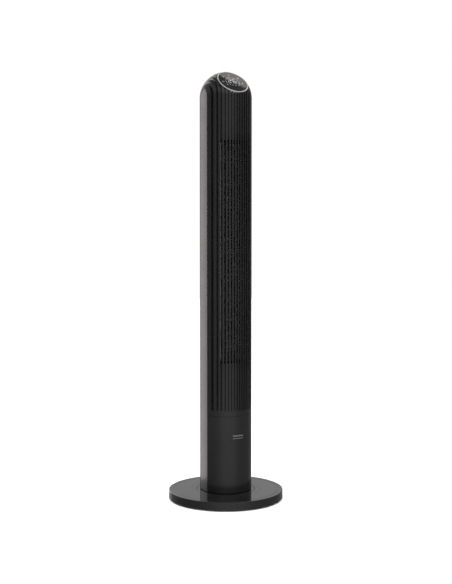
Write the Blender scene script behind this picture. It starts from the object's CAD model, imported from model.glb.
import math

import bmesh
import bpy
from mathutils import Matrix, Vector


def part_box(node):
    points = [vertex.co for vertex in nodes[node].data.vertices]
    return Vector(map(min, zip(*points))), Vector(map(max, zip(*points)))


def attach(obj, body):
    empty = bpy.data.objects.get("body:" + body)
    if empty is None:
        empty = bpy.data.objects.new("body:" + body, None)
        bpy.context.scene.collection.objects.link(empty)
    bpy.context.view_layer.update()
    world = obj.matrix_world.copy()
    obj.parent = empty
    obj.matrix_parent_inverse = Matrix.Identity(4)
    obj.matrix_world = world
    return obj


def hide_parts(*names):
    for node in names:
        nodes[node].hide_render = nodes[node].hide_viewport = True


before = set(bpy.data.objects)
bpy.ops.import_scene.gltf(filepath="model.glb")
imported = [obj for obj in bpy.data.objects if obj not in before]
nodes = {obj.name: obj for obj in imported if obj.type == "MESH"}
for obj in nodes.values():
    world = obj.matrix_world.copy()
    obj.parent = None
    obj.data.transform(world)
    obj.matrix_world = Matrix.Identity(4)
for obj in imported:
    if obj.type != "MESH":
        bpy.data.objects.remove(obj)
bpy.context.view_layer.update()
scene = bpy.context.scene

# ---- Sizes, in metres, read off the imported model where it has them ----

MM = 0.001
grille_low, grille_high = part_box("front_grille")
panel_low, panel_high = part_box("left_side_panel")
base_low, base_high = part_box("base_cover")
swivel_low, swivel_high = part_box("swivel_plate")

BODY_R = -grille_low.y
TOTAL_H = grille_high.z
DOME_Z = TOTAL_H - BODY_R
FLAT_X = -panel_low.x
PANEL_T = panel_high.x - panel_low.x
CORNER_Y = math.sqrt(BODY_R ** 2 - FLAT_X ** 2)
SEAM_Z = grille_low.z
COLUMN_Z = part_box("lower_front_cover")[0].z
BASE_R = base_high.x
BASE_TOP = base_high.z
BASE_UNDER = base_low.z
OUTLET_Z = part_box("impeller")[0].z - 4 * MM
OUTLET_H = 564 * MM
OUTLET_BAYS = 10
INLET_Z = 300 * MM
INLET_H = 660 * MM
INLET_BAYS = 11
SEAM_GAP = 0.7 * MM
STRIP_GAP = 1.2 * MM

SHELL_IN_R = BODY_R - 5.5 * MM
COVER_IN_R = BODY_R - 2.5 * MM
GROOVE_DEPTH = 3 * MM
RIB_PITCH = 7.5 * MM
RIB_START = 15 * MM
GROOVE_W = 3.2 * MM
SLOT_W = 4.4 * MM
EDGE_GROOVE_W = 4.2 * MM
LAST_RIB = 7
OPEN_GROOVES = 6
BAR_T = 2.2 * MM
PARTING = 0.05 * MM

RING_R = 42 * MM
RING_W = 3.2 * MM
RING_GAP = 1 * MM
PANEL_TILT = math.radians(45)
PANEL_FRONT = 53.2 * MM
LENS_FRONT = PANEL_FRONT - 0.8 * MM


# ---- Materials ----

def new_material(name):
    material = bpy.data.materials.new(name)
    material.use_nodes = True
    tree = material.node_tree
    return material, tree, tree.nodes["Principled BSDF"]


def noise(tree, scale, detail=2.0, stretch=(1, 1, 1)):
    """Noise over the object's own coordinates; scale is in bumps a metre."""
    coords = tree.nodes.new("ShaderNodeTexCoord")
    mapping = tree.nodes.new("ShaderNodeMapping")
    mapping.inputs["Scale"].default_value = stretch
    texture = tree.nodes.new("ShaderNodeTexNoise")
    texture.inputs["Scale"].default_value = scale
    texture.inputs["Detail"].default_value = detail
    tree.links.new(coords.outputs["Object"], mapping.inputs["Vector"])
    tree.links.new(mapping.outputs["Vector"], texture.inputs["Vector"])
    return texture.outputs["Fac"]


def map_range(tree, value, from_min, from_max, to_min, to_max, smooth=False):
    node = tree.nodes.new("ShaderNodeMapRange")
    node.interpolation_type = "SMOOTHSTEP" if smooth else "LINEAR"
    limits = {"From Min": from_min, "From Max": from_max, "To Min": to_min, "To Max": to_max}
    for name, number in limits.items():
        node.inputs[name].default_value = number
    tree.links.new(value, node.inputs["Value"])
    return node.outputs["Result"]


def spread(tree, value, low, high, start=0.3, end=0.7):
    """Maps a noise value to the range from low to high."""
    return map_range(tree, value, start, end, low, high)


def tint(tree, value, dark, light):
    """Mixes two colours by a noise value."""
    mix = tree.nodes.new("ShaderNodeMix")
    mix.data_type = "RGBA"
    mix.inputs["A"].default_value = (*dark, 1)
    mix.inputs["B"].default_value = (*light, 1)
    tree.links.new(value, mix.inputs["Factor"])
    return mix.outputs["Result"]


def bump(tree, shader, height, distance, strength=1.0):
    node = tree.nodes.new("ShaderNodeBump")
    node.inputs["Distance"].default_value = distance
    node.inputs["Strength"].default_value = strength
    tree.links.new(height, node.inputs["Height"])
    tree.links.new(node.outputs["Normal"], shader.inputs["Normal"])


def moulded(name, color, rough, grain=0.02 * MM, grain_scale=1600, vary=0.25, blotch=9, ior=1.5):
    """Moulded plastic or rubber: a fine grain, faint blotches and a slightly uneven sheen."""
    material, tree, shader = new_material(name)
    dark = [c * (1 - vary) for c in color]
    light = [c * (1 + vary) for c in color]
    clouds = noise(tree, blotch, 3)
    tree.links.new(tint(tree, spread(tree, clouds, 0, 1), dark, light), shader.inputs["Base Color"])
    smudges = noise(tree, blotch * 2.7, 4)
    tree.links.new(spread(tree, smudges, rough * 0.85, rough * 1.2), shader.inputs["Roughness"])
    bump(tree, shader, noise(tree, grain_scale, 2), grain, 0.5)
    shader.inputs["IOR"].default_value = ior
    return material


def metal(name, color, rough, stretch=(1, 1, 1), scale=700, depth=0.01 * MM):
    """Metal with fine marks that run along the axis that stretch leaves short."""
    material, tree, shader = new_material(name)
    shader.inputs["Metallic"].default_value = 1.0
    marks = noise(tree, scale, 3, stretch)
    dark = [c * 0.86 for c in color]
    tree.links.new(tint(tree, spread(tree, marks, 0, 1), dark, color), shader.inputs["Base Color"])
    tree.links.new(spread(tree, marks, rough * 0.8, rough * 1.25), shader.inputs["Roughness"])
    bump(tree, shader, marks, depth, 0.4)
    return material


def circuit_board(name):
    """Green laminate with a copper pattern under the varnish."""
    material, tree, shader = new_material(name)
    coords = tree.nodes.new("ShaderNodeTexCoord")
    cells = tree.nodes.new("ShaderNodeTexVoronoi")
    cells.distance = "MANHATTAN"
    cells.feature = "DISTANCE_TO_EDGE"
    cells.inputs["Scale"].default_value = 260
    tree.links.new(coords.outputs["Object"], cells.inputs["Vector"])
    tracks = spread(tree, cells.outputs["Distance"], 1, 0, 0.04, 0.07)
    color = tint(tree, tracks, (0.012, 0.09, 0.035), (0.03, 0.2, 0.07))
    tree.links.new(color, shader.inputs["Base Color"])
    bump(tree, shader, tracks, 0.03 * MM)
    shader.inputs["Roughness"].default_value = 0.35
    return material


def printed(name, color, rough, glow):
    """Light print or a lit mark, a little uneven."""
    material, tree, shader = new_material(name)
    dark = [c * 0.9 for c in color]
    value = tint(tree, spread(tree, noise(tree, 900, 2), 0, 1), dark, color)
    tree.links.new(value, shader.inputs["Base Color"])
    tree.links.new(value, shader.inputs["Emission Color"])
    shader.inputs["Emission Strength"].default_value = glow
    shader.inputs["Roughness"].default_value = rough
    return material


BLACK = (0.0065, 0.0062, 0.0063)
rib_plastic = moulded("rib_satin", BLACK, 0.13, 0.0015 * MM, 2200)
cover_plastic = moulded("body_gloss", BLACK, 0.18, 0.001 * MM, 1800)
strip_plastic = moulded("side_gloss", BLACK, 0.19, 0.001 * MM, 900)
base_plastic = moulded("base_gloss", BLACK, 0.035, 0.0005 * MM, 700)
rim_plastic = moulded("base_ring_gloss", BLACK, 0.05, 0.0005 * MM, 900)
inner_plastic = moulded("inner_black", (0.014, 0.014, 0.0145), 0.35, 0.006 * MM, 1300)
wheel_plastic = moulded("wheel_grey", (0.23, 0.23, 0.232), 0.35, 0.003 * MM, 1500)
duct_plastic = moulded("duct_grey", (0.22, 0.22, 0.221), 0.4, 0.006 * MM, 1300)
rubber = moulded("foot_rubber", (0.012, 0.012, 0.012), 0.75, 0.05 * MM, 2600, 0.35)
damper_rubber = moulded("damper_rubber", (0.016, 0.016, 0.016), 0.7, 0.05 * MM, 2200, 0.35)
lead_cover = moulded("lead_black", (0.014, 0.014, 0.014), 0.5, 0.02 * MM, 1900)
gear_plastic = moulded("gear_acetal", (0.72, 0.7, 0.63), 0.38, 0.01 * MM, 1400, 0.05)
capacitor_case = moulded("capacitor_case", (0.7, 0.7, 0.66), 0.3, 0.01 * MM, 1200, 0.05)
lens_plastic = moulded("lens_gloss", (0.006, 0.006, 0.0065), 0.025, 0.0004 * MM, 500)
ring_metal = metal("ring_silver", (0.64, 0.61, 0.61), 0.3, (1, 1, 1), 900, 0.002 * MM)
screw_metal = metal("screw_steel", (0.5, 0.5, 0.52), 0.32, (1, 1, 6))
plain_steel = metal("motor_steel", (0.42, 0.42, 0.43), 0.35, (1, 1, 14), 500)
cast_alloy = metal("motor_alloy", (0.5, 0.5, 0.51), 0.48, (1, 1, 1), 900, 0.05 * MM)
bronze = metal("bearing_bronze", (0.5, 0.36, 0.16), 0.35, (1, 1, 1), 1500, 0.02 * MM)
board = circuit_board("board_green")
badge_print = printed("badge_silver", (0.11, 0.108, 0.106), 0.4, 0.0)
mark_print = printed("panel_marks", (0.36, 0.355, 0.355), 0.4, 0.15)

CAD_FINISH = {
    inner_plastic: ["base_bottom_plate", "pivot_hub", "cord_gland", "lower_bulkhead", "upper_bulkhead",
                    "board_tray", "panel_cup"],
    duct_plastic: ["scroll_wall", "tongue_wall"],
    wheel_plastic: ["impeller"],
    damper_rubber: ["impeller_coupling", "top_bearing_mount", "motor_dampers"],
    lead_cover: ["control_lead", "motor_lead", "swing_lead", "supply_lead"],
    gear_plastic: ["fixed_gear", "glide_ring", "thrust_washer", "swing_pinion"],
    capacitor_case: ["motor_capacitor"],
    screw_metal: ["base_screws", "hub_screws", "retaining_screws", "swing_motor_screws", "housing_screws",
                  "neck_screws", "motor_bolts", "motor_mount_screws", "board_screws"],
    plain_steel: ["retaining_ring", "swing_motor", "impeller_pin", "motor_stator", "motor_bearings",
                  "motor_rotor", "motor_shaft"],
    cast_alloy: ["motor_upper_cap", "motor_lower_cap"],
    bronze: ["top_bearing"],
    board: ["main_board", "panel_board"],
    cover_plastic: ["lower_front_cover", "lower_rear_cover"],
    strip_plastic: ["left_side_panel", "right_side_panel"],
    rib_plastic: ["front_grille", "rear_grille"],
    base_plastic: ["base_cover"],
    rim_plastic: ["base_trim_ring", "swivel_plate"],
    rubber: ["rubber_feet"],
    ring_metal: ["bezel_ring"],
    lens_plastic: ["touch_panel"],
    badge_print: ["badge"],
}
for material, names in CAD_FINISH.items():
    for name in names:
        for slot in nodes[name].material_slots:
            slot.material = material


# ---- Mesh helpers ----

def add_piece(name, verts, faces, material, body, slot, replaces=(), place=None):
    """Makes a closed piece from points and faces, smooth but for its sharp edges."""
    mesh = bpy.data.meshes.new(name)
    mesh.from_pydata([tuple(v) for v in verts], [], faces)
    bm = bmesh.new()
    bm.from_mesh(mesh)
    bmesh.ops.remove_doubles(bm, verts=bm.verts, dist=0.0005 * MM)
    bmesh.ops.dissolve_degenerate(bm, dist=0.0005 * MM, edges=bm.edges)
    bmesh.ops.recalc_face_normals(bm, faces=bm.faces)
    if place:
        bmesh.ops.transform(bm, matrix=place, verts=bm.verts)
    bm.to_mesh(mesh)
    bm.free()
    mesh.materials.append(material)
    piece = bpy.data.objects.new(name, mesh)
    scene.collection.objects.link(piece)
    finish_shading(piece)
    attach(piece, body)
    if replaces:
        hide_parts(*replaces)
    return piece


def finish_shading(piece, angle=math.radians(32)):
    """Smooth curves, with flat faces kept flat by weighing the normals."""
    piece.data.shade_smooth()
    piece.data.set_sharp_from_angle(angle=angle)
    if "flats" not in piece.modifiers:
        modifier = piece.modifiers.new("flats", "WEIGHTED_NORMAL")
        modifier.keep_sharp = True


def bevel(piece, width, segments=3):
    piece.modifiers.remove(piece.modifiers["flats"])
    modifier = piece.modifiers.new("edge", "BEVEL")
    modifier.width = width
    modifier.segments = segments
    modifier.limit_method = "ANGLE"
    modifier.angle_limit = math.radians(40)
    modifier.harden_normals = True


def apply_modifiers(piece):
    bpy.context.view_layer.update()
    graph = bpy.context.evaluated_depsgraph_get()
    mesh = bpy.data.meshes.new_from_object(piece.evaluated_get(graph))
    piece.modifiers.clear()
    piece.data = mesh


def rounded(points, steps=4):
    """Rounds a closed outline: each point is (x, y, radius)."""
    result = []
    count = len(points)
    for i, (x, y, radius) in enumerate(points):
        here = Vector((x, y))
        before = Vector(points[i - 1][:2]) - here
        after = Vector(points[(i + 1) % count][:2]) - here
        if not radius:
            result.append((x, y))
            continue
        before.normalize()
        after.normalize()
        half = before.angle(after) / 2
        reach = radius / math.tan(half)
        start = here + before * reach
        end = here + after * reach
        centre = here + (before + after).normalized() * (radius / math.sin(half))
        a, b = start - centre, end - centre
        turn = a.angle_signed(b)
        for k in range(steps + 1):
            result.append(tuple(centre + rotated(a, -turn * k / steps)))
    return result


def rotated(v, angle):
    cos, sin = math.cos(angle), math.sin(angle)
    return Vector((v.x * cos - v.y * sin, v.x * sin + v.y * cos))


def lathe(outline, steps=160):
    """Turns a closed outline of (radius, height) points about the z axis."""
    verts, faces = [], []
    count = len(outline)
    for k in range(steps):
        a = 2 * math.pi * k / steps
        verts += [(r * math.cos(a), r * math.sin(a), z) for r, z in outline]
    for k in range(steps):
        for i in range(count):
            j = (i + 1) % count
            m = (k + 1) % steps
            faces.append((k * count + i, m * count + i, m * count + j, k * count + j))
    return verts, faces


def prism(outline, low, high):
    """A closed outline of (x, y) points raised from low to high."""
    count = len(outline)
    verts = [(x, y, low) for x, y in outline] + [(x, y, high) for x, y in outline]
    sides = [(i, (i + 1) % count, count + (i + 1) % count, count + i) for i in range(count)]
    return verts, sides + [tuple(range(count))[::-1], tuple(range(count, 2 * count))]


def join(parts):
    """Puts several (verts, faces, matrix) together as one set of points and faces."""
    verts, faces = [], []
    for part_verts, part_faces, matrix in parts:
        start = len(verts)
        verts += [matrix @ Vector(v) for v in part_verts]
        faces += [tuple(start + i for i in face) for face in part_faces]
    return verts, faces


def box_outline(r0, z0, r1, z1, radius):
    return rounded([(r0, z0, radius), (r1, z0, radius), (r1, z1, radius), (r0, z1, radius)])


# ---- Base ----

def make_base_cover():
    wall, skin = 2.5 * MM, 2.5 * MM
    well_r, well_floor, well_under = 76 * MM, BASE_UNDER + 7 * MM, BASE_UNDER + 4.5 * MM
    seat_r, seat_z = 88.2 * MM, BASE_TOP - 1.7 * MM
    boss_in, boss_out, boss_top = 63 * MM, 70 * MM, swivel_low.z - 1.1 * MM
    groove_in, groove_out, groove_d = 135.5 * MM, 136.5 * MM, 0.5 * MM
    outline = rounded([
        (18.1 * MM, well_under, 0), (well_r + wall, well_under, 0.4 * MM),
        (well_r + wall, BASE_TOP - skin, 0.4 * MM), (BASE_R - wall, BASE_TOP - skin, 0.8 * MM),
        (BASE_R - wall, BASE_UNDER, 0.3 * MM), (BASE_R, BASE_UNDER, 0.6 * MM), (BASE_R, BASE_TOP, 1.3 * MM),
        (groove_out, BASE_TOP, 0.15 * MM), (groove_out, BASE_TOP - groove_d, 0.2 * MM),
        (groove_in, BASE_TOP - groove_d, 0.2 * MM), (groove_in, BASE_TOP, 0.15 * MM),
        (seat_r, BASE_TOP, 0.25 * MM), (seat_r, seat_z, 0), (well_r, seat_z, 0),
        (well_r, well_floor, 0.5 * MM),
        (boss_out, well_floor, 0), (boss_out, boss_top, 0), (boss_in, boss_top, 0), (boss_in, well_floor, 0),
        (18.1 * MM, well_floor, 0),
    ])
    add_piece("base_cover_moulding", *lathe(outline, 192), base_plastic, "base", "base_gloss",
              ["base_cover"])


def make_base_rings():
    ring_low, ring_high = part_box("base_trim_ring")
    ring = box_outline(76.2 * MM, ring_low.z, ring_high.x, ring_high.z, 0.3 * MM)
    add_piece("base_trim_ring_turned", *lathe(ring), rim_plastic, "base", "base_gloss", ["base_trim_ring"])
    top = BASE_TOP - 0.2 * MM
    bore_r, collar_r, collar_top = 18.06 * MM, 24 * MM, top + 9 * MM
    neck_in, neck_out = 58.2 * MM, 61.2 * MM
    plate = rounded([
        (bore_r, swivel_low.z, 0), (swivel_high.x, swivel_low.z, 0.3 * MM), (swivel_high.x, top, 0.5 * MM),
        (neck_out, top, 0), (neck_out, swivel_high.z, 0.4 * MM), (neck_in, swivel_high.z, 0.4 * MM),
        (neck_in, top, 0), (collar_r, top, 0), (collar_r, collar_top, 0.4 * MM), (bore_r, collar_top, 0),
    ])
    piece = add_piece("swivel_plate_turned", *lathe(plate), rim_plastic, "column", "base_gloss",
                      ["swivel_plate"])
    low, high = swivel_low.z - 1 * MM, top + 1 * MM
    pinion_hole, motor_screw_r = (4 * MM, 0, 36 * MM), 1.3 * MM
    round_holes = [pinion_hole] + [(motor_screw_r, x, 42 * MM) for x in (-20 * MM, 20 * MM)]
    holes = [(*round_cutter(radius, low, high, 32), Matrix.Translation((x, y, 0)))
             for radius, x, y in round_holes]
    holes += [(*round_cutter(PILOT_R, 50 * MM, 70 * MM, 32), turn) for turn in neck_screw_axes()]
    cut_with(piece, *join(holes))


def make_feet():
    foot_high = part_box("rubber_feet")[1].z
    foot_r, ring_r, start, count = 10 * MM, 134 * MM, math.radians(-86), 5
    dish = rounded([
        (0, 0.5 * MM, 0), (foot_r - 2.6 * MM, 0.5 * MM, 0.4 * MM), (foot_r - 2.2 * MM, 0, 0.2 * MM),
        (foot_r - 0.2 * MM, 0, 0.5 * MM), (foot_r, foot_high, 0), (0, foot_high, 0),
    ], 3)
    parts = []
    for k in range(count):
        a = start + 2 * math.pi * k / count
        parts.append((*lathe(dish, 48), Matrix.Translation((ring_r * math.cos(a), ring_r * math.sin(a), 0))))
    add_piece("rubber_feet_moulded", *join(parts), rubber, "base", "foot_rubber", ["rubber_feet"])


# ---- Column shells ----

def groove_centres():
    """Each groove as (centre, which rib it follows, plain width)."""
    inner = [((k + 0.5) * RIB_PITCH, k, GROOVE_W) for k in range(LAST_RIB)]
    edge_start = LAST_RIB * RIB_PITCH + (RIB_PITCH - GROOVE_W) / 2
    return inner + [(edge_start + EDGE_GROOVE_W / 2, LAST_RIB, EDGE_GROOVE_W)]


EDGE = 0.3 * MM
DRAFT = 0.12 * MM
DEEPER = 1.2 * MM
PLAIN = (lambda k, w: w, lambda k: 0.0)


def half_outline(width_at, depth_at):
    """One side of the shell in plan, from the middle out: (x, depth, is_floor, groove).
    width_at and depth_at give a groove's width and depth."""
    points = [(0.0, 0.0, False, -1)]
    for centre, k, plain_w in groove_centres():
        half = width_at(k, plain_w) / 2
        depth = depth_at(k)
        edge = EDGE if depth > EDGE else 0.0
        rounding = [(half + EDGE, 0.0), (half + 0.3 * EDGE, 0.3 * edge), (half, edge)]
        for offset, drop in rounding:
            points.append((centre - offset, drop, False, -1))
        points.append((centre - half + DRAFT, depth, True, k))
        points.append((centre + half - DRAFT, depth, False, -1))
        for offset, drop in reversed(rounding):
            points.append((centre + offset, drop, False, -1))
    return points


def inner_x(x):
    """Where a point of the outer skin lies on the inner one."""
    straight = 50 * MM
    if x <= straight:
        return x
    first = math.asin(straight / SHELL_IN_R)
    last = math.atan2(FLAT_X, CORNER_Y) - 0.02
    share = (x - straight) / (FLAT_X - straight)
    return SHELL_IN_R * math.sin(first + share * (last - first))


def station_points(width_at, depth_at, inner_r):
    """All points of one cross-section: outer (x, rho), inner (x, rho) and the floor mark."""
    half = []
    grow = inner_r / SHELL_IN_R
    for x, depth, floor, groove in half_outline(width_at, depth_at):
        inner = inner_x(x)
        rho = math.sqrt(SHELL_IN_R ** 2 - inner * inner)
        half.append(((x, math.sqrt((BODY_R - depth) ** 2 - x * x)), (grow * inner, grow * rho),
                     groove if floor else -1))
    pocket_x = FLAT_X - PANEL_T - 0.1 * MM
    corner = [(FLAT_X - 0.35 * MM, CORNER_Y + 1.05 * MM), (FLAT_X - 0.05 * MM, CORNER_Y + 0.35 * MM),
              (FLAT_X - 0.15 * MM, CORNER_Y), (pocket_x, CORNER_Y - 0.1 * MM),
              (pocket_x, CORNER_Y * 0.5), (pocket_x, 0.0)]
    angles = [71.2, 71.7, 72.1, 72.6, 81.5, 90]
    for (x, rho), angle in zip(corner, angles):
        a = math.radians(angle)
        half.append(((x, rho), (SHELL_IN_R * math.sin(a), SHELL_IN_R * math.cos(a)), -1))
    left = [((-o[0], o[1]), (-i[0], i[1]), -1) for o, i, _ in reversed(half[1:])]
    marks = [mark for _, _, mark in half]
    for n in range(len(half) - 1):
        if marks[n] >= 0:
            left[len(half) - 2 - n] = (*left[len(half) - 2 - n][:2], marks[n])
    return left + half


def smooth_stations(low, high):
    """Two plain sections, in the form that ribbed_stations gives."""
    return [(low, None, PLAIN, False), (high, None, PLAIN, False)]


def ribs(blend):
    """Groove width and depth; blend runs from 0, plain grooves, to 1 at the edge of the opening."""
    ease = blend * blend * (3 - 2 * blend)
    width = lambda k, w: w + (SLOT_W - w) * ease if k < OPEN_GROOVES else w
    depth = lambda k: GROOVE_DEPTH + DEEPER * ease if k < OPEN_GROOVES else GROOVE_DEPTH
    return width, depth


def ribbed_stations(low, high, open_z, open_h, bays):
    """The sections from the bottom up: (height, dome angle, groove width and depth, open above?)."""
    rib_z, open_top = low + RIB_START, open_z + open_h
    rows = [(low, None, PLAIN, False), (rib_z, None, PLAIN, False), (rib_z + 0.5 * MM, None, ribs(0), False)]
    slope, steps = 24 * MM, 6
    for n in range(steps):
        rows.append((open_z - slope * (1 - n / steps), None, ribs(n / steps), False))
    rows.append((open_z, None, ribs(1), True))
    bay = open_h / bays
    slot = (ribs(1)[0], lambda k: GROOVE_DEPTH)
    for n in range(1, bays):
        rows.append((open_z + n * bay - BAR_T / 2, None, slot, False))
        rows.append((open_z + n * bay + BAR_T / 2, None, slot, True))
    rows.append((open_top, None, ribs(1), False))
    for n in range(steps, 0, -1):
        rows.append((open_top + slope * (1 - (n - 1) / steps), None, ribs((n - 1) / steps), False))
    dome_steps = 36
    for n in range(dome_steps + 1):
        rows.append((high, math.pi / 2 * n / dome_steps, ribs(0), False))
    return rows


def half_shell(stations, inner_r=SHELL_IN_R):
    """A closed half shell: an outer and an inner skin, with walls where cells are left out."""
    rows = [(z, phi, station_points(*profile, inner_r), is_open) for z, phi, profile, is_open in stations]
    count = len(rows[0][2])

    def placed(x, rho, z, phi):
        if phi is None:
            return (x, -max(rho, PARTING), z)
        return (x, -max(rho * math.cos(phi), PARTING), z + rho * math.sin(phi))

    verts = []
    for z, phi, points, _ in rows:
        verts += [placed(*outer, z, phi) for outer, _, _ in points]
        verts += [placed(*inner, z, phi) for _, inner, _ in points]

    def outer_at(j, i):
        return j * 2 * count + i

    def inner_at(j, i):
        return j * 2 * count + count + i

    def solid(j, i):
        if not (0 <= j < len(rows) - 1 and 0 <= i < count - 1):
            return False
        mark = rows[j][2][i][2]
        return not (rows[j][3] and 0 <= mark < OPEN_GROOVES)

    faces = []
    for j in range(len(rows) - 1):
        for i in range(count - 1):
            if not solid(j, i):
                continue
            ring = [(j, i), (j, i + 1), (j + 1, i + 1), (j + 1, i)]
            faces.append(tuple(outer_at(*c) for c in ring))
            faces.append(tuple(inner_at(*c) for c in reversed(ring)))
            beside = [(j - 1, i), (j, i + 1), (j + 1, i), (j, i - 1)]
            for n, neighbour in enumerate(beside):
                if not solid(*neighbour):
                    a, b = ring[n], ring[(n + 1) % 4]
                    faces.append((outer_at(*b), outer_at(*a), inner_at(*a), inner_at(*b)))
    return verts, faces


HALF_TURN = Matrix.Rotation(math.pi, 4, "Z")
to_panel = Matrix.Translation((0, 0, DOME_Z)) @ Matrix.Rotation(PANEL_TILT, 4, "X")
POST_X, POST_R, POST_END_Y, SCREW_SEAT_Y = 40 * MM, 4.5 * MM, 48.5 * MM, 10 * MM
PILOT_R, CLEARANCE_R, SCREW_WELL_R, GLAND_HOLE_R = 1.55 * MM, 1.7 * MM, 3.6 * MM, 6 * MM
NECK_SCREW_Z, NECK_SCREW_ANGLES = 31 * MM, (-30, 30)
POST_HEIGHTS = {"lower": [60 * MM, 190 * MM], "upper": [250 * MM, 985 * MM]}


def along_y(x, z):
    """Takes a turned piece's axis to +Y, through (x, z)."""
    return Matrix.Translation((x, 0, z)) @ Matrix.Rotation(-math.pi / 2, 4, "X")


def neck_screw_axes():
    """The lines of the screws that hold the rear cover to the neck."""
    return [Matrix.Rotation(math.radians(angle), 4, "Z") @ along_y(0, NECK_SCREW_Z)
            for angle in NECK_SCREW_ANGLES]


def cut_with(piece, cutter_verts, cutter_faces):
    """Takes a closed cutter's shape out of a piece."""
    mesh = bpy.data.meshes.new("cutter")
    mesh.from_pydata([tuple(v) for v in cutter_verts], [], cutter_faces)
    bm = bmesh.new()
    bm.from_mesh(mesh)
    bmesh.ops.recalc_face_normals(bm, faces=bm.faces)
    bm.to_mesh(mesh)
    bm.free()
    cutter = bpy.data.objects.new("cutter", mesh)
    scene.collection.objects.link(cutter)
    piece.modifiers.clear()
    modifier = piece.modifiers.new("cut", "BOOLEAN")
    modifier.operation = "DIFFERENCE"
    modifier.solver = "EXACT"
    modifier.object = cutter
    apply_modifiers(piece)
    bpy.data.objects.remove(cutter)
    finish_shading(piece)


def round_cutter(radius, low, high, steps=128):
    outline = [(radius * math.cos(2 * math.pi * k / steps), radius * math.sin(2 * math.pi * k / steps))
               for k in range(steps)]
    return prism(outline, low, high)


def make_front_grille():
    stations = ribbed_stations(SEAM_Z, DOME_Z, OUTLET_Z, OUTLET_H, OUTLET_BAYS)
    piece = add_piece("front_grille_ribs", *half_shell(stations), rib_plastic, "column", "rib_satin",
                      ["front_grille"])
    verts, faces = round_cutter(RING_R + RING_GAP, 30 * MM, 90 * MM, 160)
    cut_with(piece, [to_panel @ Vector(v) for v in verts], faces)


def make_rear_grille():
    stations = ribbed_stations(SEAM_Z, DOME_Z, INLET_Z, INLET_H, INLET_BAYS)
    piece = add_piece("rear_grille_ribs", *half_shell(stations), rib_plastic, "column", "rib_satin",
                      ["rear_grille"], HALF_TURN)
    cut_screw_pockets(piece, POST_HEIGHTS["upper"])


def cut_screw_pockets(piece, heights):
    holes = [(*round_cutter(SCREW_WELL_R, SCREW_SEAT_Y, BODY_R + 5 * MM, 48), along_y(s * POST_X, z))
             for z in heights for s in (-1, 1)]
    cut_with(piece, *join(holes))


def make_lower_covers():
    half = half_shell(smooth_stations(COLUMN_Z, SEAM_Z - SEAM_GAP), COVER_IN_R)
    front = add_piece("lower_front_moulding", *half, cover_plastic, "column", "body_gloss",
                      ["lower_front_cover"])
    rear = add_piece("lower_rear_moulding", *half, cover_plastic, "column", "body_gloss",
                     ["lower_rear_cover"], HALF_TURN)
    cut_screw_pockets(rear, POST_HEIGHTS["lower"])
    gland_low, gland_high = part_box("cord_gland")
    gland_z = (gland_low.z + gland_high.z) / 2
    holes = [(*round_cutter(GLAND_HOLE_R, 40 * MM, 90 * MM, 64), along_y(0, gland_z))]
    holes += [(*round_cutter(SCREW_WELL_R, 40 * MM, 90 * MM, 48), turn) for turn in neck_screw_axes()]
    cut_with(rear, *join(holes))
    for piece in (front, rear):
        bevel(piece, 0.3 * MM, 2)


def make_posts():
    """The screw posts behind the shells; each rear one is the well that a screw lies in."""
    front_post = rounded([(PILOT_R, PARTING, 0), (POST_R, PARTING, 0.3 * MM), (POST_R, POST_END_Y, 0),
                          (PILOT_R, POST_END_Y, 0)])
    rear_post = rounded([(CLEARANCE_R, PARTING, 0), (POST_R, PARTING, 0.3 * MM), (POST_R, POST_END_Y, 0),
                         (SCREW_WELL_R, POST_END_Y, 0), (SCREW_WELL_R, SCREW_SEAT_Y, 0),
                         (CLEARANCE_R, SCREW_SEAT_Y, 0)])
    for side, post, turn in (("front", front_post, HALF_TURN), ("rear", rear_post, Matrix.Identity(4))):
        parts = [(*lathe(post, 48), turn @ along_y(s * POST_X, z))
                 for heights in POST_HEIGHTS.values() for z in heights for s in (-1, 1)]
        add_piece(side + "_screw_posts", *join(parts), inner_plastic, "column", "inner_black")


def make_side_panels():
    half, steps = CORNER_Y - STRIP_GAP, 48
    arch = [(half * math.cos(math.pi * n / steps), DOME_Z + half * math.sin(math.pi * n / steps))
            for n in range(steps + 1)]
    outline = [(-half, COLUMN_Z), (half, COLUMN_Z)] + arch
    stand = Matrix(((0, 0, 1, 0), (1, 0, 0, 0), (0, 1, 0, 0), (0, 0, 0, 1)))
    for side, name in ((-1, "left"), (1, "right")):
        low = min(side * FLAT_X, side * (FLAT_X - PANEL_T))
        piece = add_piece(name + "_side_trim", *prism(outline, low, low + PANEL_T), strip_plastic, "column",
                          "panel_gloss", [name + "_side_panel"], stand)
        bevel(piece, 0.3 * MM, 3)


# ---- Touch panel ----

def make_bezel():
    height, inside = 7 * MM, RING_R - RING_W
    outline = rounded([
        (inside, PANEL_FRONT - height, 0), (RING_R, PANEL_FRONT - height, 0),
        (RING_R, PANEL_FRONT, 1.1 * MM), (inside, PANEL_FRONT, 0.9 * MM),
    ], 6)
    add_piece("bezel_ring_turned", *lathe(outline, 192), ring_metal, "column", "ring_silver", ["bezel_ring"],
              to_panel)


def make_lens():
    radius = RING_R - RING_W - 0.1 * MM
    outline = rounded([(0, PANEL_FRONT - 3.6 * MM, 0), (radius, PANEL_FRONT - 3.6 * MM, 0),
                       (radius, LENS_FRONT, 0.25 * MM), (0, LENS_FRONT, 0)])
    add_piece("touch_lens", *lathe(outline, 160), lens_plastic, "column", "lens_gloss", ["touch_panel"],
              to_panel)


def arc_band(radius, width, start, end, steps=40):
    """A flat arc, from start to end degrees, as a closed outline."""
    angles = [math.radians(start + (end - start) * n / steps) for n in range(steps + 1)]
    outer = [((radius + width / 2) * math.cos(a), (radius + width / 2) * math.sin(a)) for a in angles]
    inner = [((radius - width / 2) * math.cos(a), (radius - width / 2) * math.sin(a)) for a in angles]
    return outer + inner[::-1]


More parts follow.
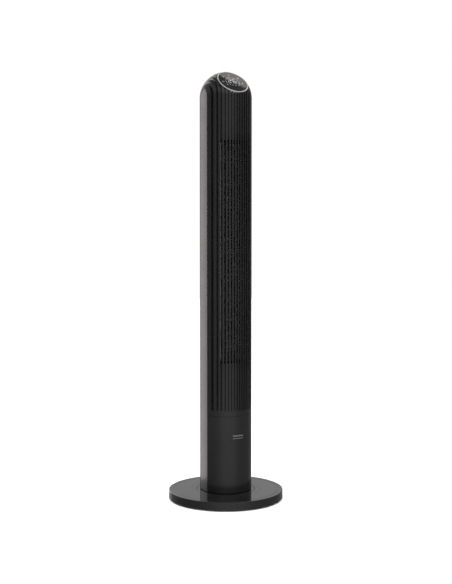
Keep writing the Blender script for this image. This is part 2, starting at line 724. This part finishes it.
def bar(x0, y0, x1, y1, width):
    along = Vector((x1 - x0, y1 - y0)).normalized()
    side = Vector((-along.y, along.x)) * width / 2
    return [(x0 - side.x, y0 - side.y), (x1 - side.x, y1 - side.y), (x1 + side.x, y1 + side.y),
            (x0 + side.x, y0 + side.y)]


SEGMENTS = {"2": "abged", "6": "acdefg"}


def digit(name, x, y, height, width, stroke):
    """Seven-segment figure with its lower left corner at (x, y)."""
    mid, gap = height / 2, stroke * 0.6
    runs = {
        "a": (gap, height, width - gap, height), "b": (width, mid + gap, width, height - gap),
        "c": (width, gap, width, mid - gap), "d": (gap, 0, width - gap, 0), "e": (0, gap, 0, mid - gap),
        "f": (0, mid + gap, 0, height - gap), "g": (gap, mid, width - gap, mid),
    }
    return [[(x + px, y + py) for px, py in bar(*runs[s], stroke)] for s in SEGMENTS[name]]


def icons():
    """Five plain signs: swing, power, speed, timer and night."""
    u = 1 * MM
    swing = [arc_band(2.4 * u, 0.7 * u, 25, 155), bar(-2.9 * u, 0.2 * u, -1.4 * u, 1.2 * u, 0.7 * u),
             bar(2.9 * u, 0.2 * u, 1.4 * u, 1.2 * u, 0.7 * u), bar(0, -2 * u, 0, 0.6 * u, 0.7 * u)]
    power = [arc_band(2.3 * u, 0.7 * u, 125, 415), bar(0, 0.6 * u, 0, 3 * u, 0.7 * u)]
    vane = ((0.2, -0.9), (2.2, -0.35), (2.6, 0.25), (1.7, 0.55), (0.3, 0.6))
    speed = [[(0.5 * u * math.cos(a) + r * u * math.cos(a + d),
               0.5 * u * math.sin(a) + r * u * math.sin(a + d)) for r, d in vane]
             for a in (math.pi / 2, math.pi * 7 / 6, math.pi * 11 / 6)]
    timer = [arc_band(2.4 * u, 0.7 * u, 0, 359.5), bar(0, 0, 0, 1.6 * u, 0.6 * u),
             bar(0, 0, 1.1 * u, 0, 0.6 * u)]
    night = [[(2.5 * u * math.cos(math.radians(d)), 2.5 * u * math.sin(math.radians(d)))
              for d in range(60, 301, 12)] +
             [(0.9 * u + 1.7 * u * math.cos(math.radians(d)), 1.7 * u * math.sin(math.radians(d)))
              for d in range(280, 79, -12)]]
    return zip((186, 136, 90, 40, -8), (swing, power, speed, timer, night))


def make_panel_marks():
    """An arc, two digits, five signs and a row of dots, as thin lit print on the lens."""
    outlines = [arc_band(18.8 * MM, 0.7 * MM, -38, 218, 72)]
    for figure, x in (("2", -12 * MM), ("6", 1 * MM)):
        outlines += digit(figure, x, -4 * MM, 15 * MM, 8.5 * MM, 1.9 * MM)
    icon_r = 28 * MM
    for angle, shapes in icons():
        a = math.radians(angle)
        for shape in shapes:
            outlines.append([(icon_r * math.cos(a) + x, icon_r * math.sin(a) + y) for x, y in shape])
    dot_r, dot_y, dot_steps = 1.1 * MM, -12.8 * MM, 24
    turns = [2 * math.pi * n / dot_steps for n in range(dot_steps)]
    for x in (-20 * MM, -12 * MM, -4 * MM, 4 * MM, 12 * MM):
        outlines.append([(x + dot_r * math.cos(a), dot_y + dot_r * math.sin(a)) for a in turns])
    low, high = LENS_FRONT - 0.05 * MM, LENS_FRONT + 0.05 * MM
    parts = [(*prism(outline, low, high), Matrix.Identity(4)) for outline in outlines]
    add_piece("touch_panel_marks", *join(parts), mark_print, "column", "badge_silver", (), to_panel)


# ---- Studio ----

CAMERA_AZIMUTH = math.radians(-28.6)
CAMERA_DISTANCE = 2.536
CAMERA_HEIGHT = 0.646
CAMERA_PITCH = math.radians(2.484)
CAMERA_YAW = math.radians(-28.615)
SENSOR = 36
FOCAL_LENGTH = 60.411


def make_camera():
    data = bpy.data.cameras.new("camera")
    data.sensor_width = SENSOR
    data.lens = FOCAL_LENGTH
    camera = bpy.data.objects.new("camera", data)
    camera.location = (math.sin(CAMERA_AZIMUTH) * CAMERA_DISTANCE,
                       -math.cos(CAMERA_AZIMUTH) * CAMERA_DISTANCE, CAMERA_HEIGHT)
    camera.rotation_euler = (math.pi / 2 - CAMERA_PITCH, 0, CAMERA_YAW)
    scene.collection.objects.link(camera)
    scene.camera = camera
    return camera


def mirrored(point, normal, camera):
    """The direction in which a polished face at point shows its surroundings to the camera."""
    ray = (Vector(point) - camera.location).normalized()
    normal = Vector(normal).normalized()
    return ray - 2 * ray.dot(normal) * normal


def softbox(name, centre, target, width, height, radiance, color):
    """An even rectangular light, seen only in what it lights."""
    data = bpy.data.lights.new(name, "AREA")
    data.shape = "RECTANGLE"
    data.size = width
    data.size_y = height
    data.energy = radiance * 4 * width * height
    data.color = color
    light = bpy.data.objects.new(name, data)
    light.location = centre
    light.rotation_euler = (Vector(target) - Vector(centre)).to_track_quat("-Z", "Y").to_euler()
    light.visible_camera = False
    scene.collection.objects.link(light)
    return light


# How bright the studio looks in a reflection, from behind the object (-1) round to its lit side (1).
STUDIO_GLOW = [(-1.0, 0.66), (-0.94, 0.66), (-0.85, 0.36), (-0.66, 0.3), (-0.33, 0.285), (-0.05, 0.33),
               (0.19, 0.375), (0.39, 0.41), (0.574, 0.48), (0.707, 0.56), (0.81, 0.66), (0.9, 0.8),
               (1.0, 0.88)]
LIT_SIDE = CAMERA_AZIMUTH + math.radians(12)
HIGH_GLOW = 0.9
WARM_WHITE = (1, 0.93, 0.92)


def multiply(tree, a, b):
    node = tree.nodes.new("ShaderNodeMath")
    node.operation = "MULTIPLY"
    tree.links.new(a, node.inputs[0])
    tree.links.new(b, node.inputs[1])
    return node.outputs["Value"]


def vector_math(tree, operation, vector, constant=None):
    node = tree.nodes.new("ShaderNodeVectorMath")
    node.operation = operation
    tree.links.new(vector, node.inputs[0])
    if constant:
        node.inputs[1].default_value = constant
    return node


def glow_by_heading(tree, direction):
    """The glow that a level direction has on the STUDIO_GLOW curve."""
    level = vector_math(tree, "MULTIPLY", direction, (1, 1, 0)).outputs["Vector"]
    heading = vector_math(tree, "NORMALIZE", level).outputs["Vector"]
    lit_side = (math.sin(LIT_SIDE), -math.cos(LIT_SIDE), 0)
    facing = vector_math(tree, "DOT_PRODUCT", heading, lit_side).outputs["Value"]
    curve = tree.nodes.new("ShaderNodeFloatCurve")
    points = curve.mapping.curves[0].points
    for place, glow in STUDIO_GLOW[1:-1]:
        points.new((place + 1) / 2, glow)
    points[0].location = (0.0, STUDIO_GLOW[0][1])
    points[-1].location = (1.0, STUDIO_GLOW[-1][1])
    curve.mapping.update()
    tree.links.new(map_range(tree, facing, -1, 1, 0, 1), curve.inputs["Value"])
    return curve.outputs["Value"]


def glow_by_height(tree, direction):
    """A stronger glow at mid height, which falls off again overhead."""
    split = tree.nodes.new("ShaderNodeSeparateXYZ")
    tree.links.new(direction, split.inputs["Vector"])
    peak = 1 + HIGH_GLOW
    rise = map_range(tree, split.outputs["Z"], 0.15, 0.5, 1, peak, True)
    fall = map_range(tree, split.outputs["Z"], 0.6, 0.85, 1, 1 / peak, True)
    return multiply(tree, rise, fall)


def make_world():
    """A white studio, with softer reflections from the sides than from the front and back."""
    world = bpy.data.worlds.new("studio")
    scene.world = world
    world.use_nodes = True
    tree = world.node_tree
    tree.nodes.clear()
    direction = tree.nodes.new("ShaderNodeTexCoord").outputs["Generated"]
    lit = tree.nodes.new("ShaderNodeBackground")
    seen = tree.nodes.new("ShaderNodeBackground")
    seen.inputs["Color"].default_value = (1, 1, 1, 1)
    paths = tree.nodes.new("ShaderNodeLightPath")
    mix = tree.nodes.new("ShaderNodeMixShader")
    output = tree.nodes.new("ShaderNodeOutputWorld")
    glow = multiply(tree, glow_by_heading(tree, direction), glow_by_height(tree, direction))
    tree.links.new(glow, lit.inputs["Strength"])
    tree.links.new(paths.outputs["Is Camera Ray"], mix.inputs["Fac"])
    tree.links.new(lit.outputs["Background"], mix.inputs[1])
    tree.links.new(seen.outputs["Background"], mix.inputs[2])
    tree.links.new(mix.outputs["Shader"], output.inputs["Surface"])


def make_floor():
    half = 9.0
    mesh = bpy.data.meshes.new("floor")
    corners = [(-half, -half, 0), (half, -half, 0), (half, half, 0), (-half, half, 0)]
    mesh.from_pydata(corners, [], [(0, 1, 2, 3)])
    material, tree, shader = new_material("floor_paper")
    value = tint(tree, spread(tree, noise(tree, 3, 3), 0, 1), (0.88, 0.88, 0.88), (0.9, 0.9, 0.9))
    tree.links.new(value, shader.inputs["Base Color"])
    shader.inputs["Roughness"].default_value = 0.9
    shader.inputs["Specular IOR Level"].default_value = 0.1
    mesh.materials.append(material)
    floor = bpy.data.objects.new("floor", mesh)
    floor.visible_glossy = False
    scene.collection.objects.link(floor)


def make_strip_light(camera):
    """A tall panel that shows in the left strip, and ends where the strip does."""
    strip_front = Vector((-FLAT_X, -CORNER_Y, 0.6))
    away = mirrored(strip_front, (-1, 0, 0), camera).to_2d().normalized().to_3d()
    across = Vector((away.y, -away.x, 0))
    width, height, distance, radiance = 0.1, 1.15, 0.24, 1.98
    centre = strip_front + away * distance + across * (width / 2 + 0.001)
    centre.z = height / 2
    softbox("rear_left_panel", centre, centre - away, width, height, radiance, WARM_WHITE)


def make_overhead_light():
    """A level panel that shows in the upper part of the lens, with its edge across the lens."""
    edge_middle, along = Vector((0.85, 0.26, 2.6)), math.radians(-20)
    length, depth, radiance = 1.6, 1.2, 1.28
    inward = Vector((-math.sin(along), math.cos(along), 0))
    centre = edge_middle + inward * depth / 2
    light = softbox("overhead_panel", centre, (0, 0, 0), length, depth, radiance, WARM_WHITE)
    light.rotation_euler = (0, 0, along)


def make_floor_light():
    """An even light from above that leaves no mark in reflections."""
    data = bpy.data.lights.new("floor_light", "SUN")
    data.energy = 4.0
    data.angle = math.radians(70)
    sun = bpy.data.objects.new("floor_light", data)
    sun.visible_glossy = False
    scene.collection.objects.link(sun)


scene.view_settings.view_transform = "Standard"
camera = make_camera()
make_world()
make_floor()
make_strip_light(camera)
make_overhead_light()
make_floor_light()
make_base_cover()
make_base_rings()
make_feet()
make_front_grille()
make_rear_grille()
make_lower_covers()
make_posts()
make_side_panels()
make_bezel()
make_lens()
make_panel_marks()
